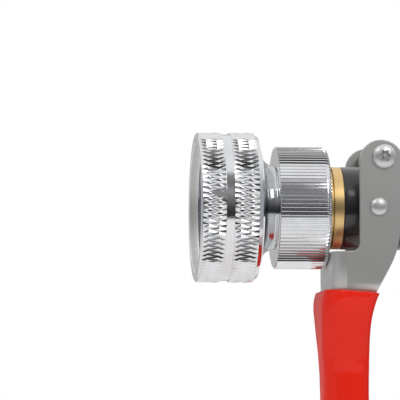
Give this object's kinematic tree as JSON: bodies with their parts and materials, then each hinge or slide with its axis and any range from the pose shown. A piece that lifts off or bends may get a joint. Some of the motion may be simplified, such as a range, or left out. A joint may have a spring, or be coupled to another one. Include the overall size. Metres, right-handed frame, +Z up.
{
  "type": "fire hose nozzle",
  "caption": "Trigger fire hose nozzle with a raked pistol grip, red squeeze lever, knurled flow ring and knurled pattern head.",
  "frame": {"origin": "centre of the mouth of the hose inlet, on the axis of the hand grip", "axes": "-X is the way the nozzle discharges, +Z is up, Y is across; the hand grip and the inlet lean back by 12 degrees in the XZ plane"},
  "size_m": [0.1506, 0.06, 0.159],
  "materials": {
    "black_coating": "satin black powder coating",
    "black_rubber": "moulded, fine texture",
    "brass": "turned, satin",
    "bronze": "sintered",
    "seal_rubber": "moulded",
    "fastener_steel": "stainless, as machined",
    "spring_steel": "drawn wire",
    "brushed_stainless": "brushed sheet",
    "red_vinyl": "dipped vinyl, glossy",
    "white_plastic": "turned",
    "chrome": "polished, knurled",
    "dark_chrome": "polished, in shadow"
  },
  "bodies": {
    "body": {"valve_body": "black_coating", "grip_cover": "black_rubber", "inlet_nipple": "brass", "inlet_washer": "seal_rubber", "inlet_strainer": "fastener_steel", "rear_cap": "black_coating", "rear_cap_seal": "seal_rubber", "return_spring": "spring_steel", "pivot_bushes": "bronze", "brass_bush": "brass", "bush_seal": "seal_rubber", "seat_ring": "white_plastic", "nozzle_tube": "brass", "stem_guide": "brass", "neck_cone": "chrome", "head_retainer": "brass", "guide_pins": "fastener_steel", "flow_ring_clip": "spring_steel"},
    "inlet_nut": {"swivel_nut": "brass"},
    "trigger": {"trigger_lever": "brushed_stainless", "lever_grip": "red_vinyl", "drive_pin": "fastener_steel", "pivot_bolt": "fastener_steel", "pivot_nut": "fastener_steel"},
    "valve": {"shuttle": "brass", "shuttle_rings": "seal_rubber", "valve_stem": "fastener_steel", "valve_seal": "seal_rubber", "valve_disc": "brass"},
    "flow_selector": {"flow_ring": "chrome"},
    "baffle_stem": {"baffle_stem": "fastener_steel", "baffle": "brass", "stem_slider": "brass", "stem_cross_pin": "fastener_steel"},
    "head": {"head_ring": "chrome"},
    "shaper": {"shaper_sleeve": "dark_chrome"}
  },
  "joints": [
    {"name": "trigger_squeeze", "type": "hinge", "parent": "body", "child": "trigger", "pos_m": [-0.05941, 0, 0.1445], "axis": [0, -1, 0], "range_deg": [0, 18], "stiffness_Nm_per_rad": 3, "springref_deg": -11.46},
    {"name": "valve_slide", "type": "slide", "parent": "body", "child": "valve", "axis": [1, 0, 0], "range_m": [0, 0.0063], "deforming": ["return_spring"]},
    {"name": "flow_turn", "type": "hinge", "parent": "body", "child": "flow_selector", "pos_m": [-0.09021, 0, 0.1252], "axis": [1, 0, 0], "range_deg": [0, 120]},
    {"name": "baffle_slide", "type": "slide", "parent": "body", "child": "baffle_stem", "axis": [-1, 0, 0], "range_m": [0, 0.0024]},
    {"name": "pattern_turn", "type": "hinge", "parent": "body", "child": "head", "pos_m": [-0.12051, 0, 0.1252], "axis": [1, 0, 0], "range_deg": [0, 180]},
    {"name": "shaper_slide", "type": "slide", "parent": "body", "child": "shaper", "axis": [1, 0, 0], "range_m": [0, 0.005]},
    {"name": "inlet_swivel", "type": "hinge", "parent": "body", "child": "inlet_nut", "pos_m": [0, 0, 0], "axis": [0.2079, 0, -0.9781], "continuous": true}
  ],
  "couplings": [
    {"joint": "valve_slide", "follows": "trigger_squeeze", "m_per_rad": 0.02},
    {"joint": "baffle_slide", "follows": "flow_turn", "m_per_rad": 0.001145},
    {"joint": "shaper_slide", "follows": "pattern_turn", "m_per_rad": 0.00159}
  ]
}
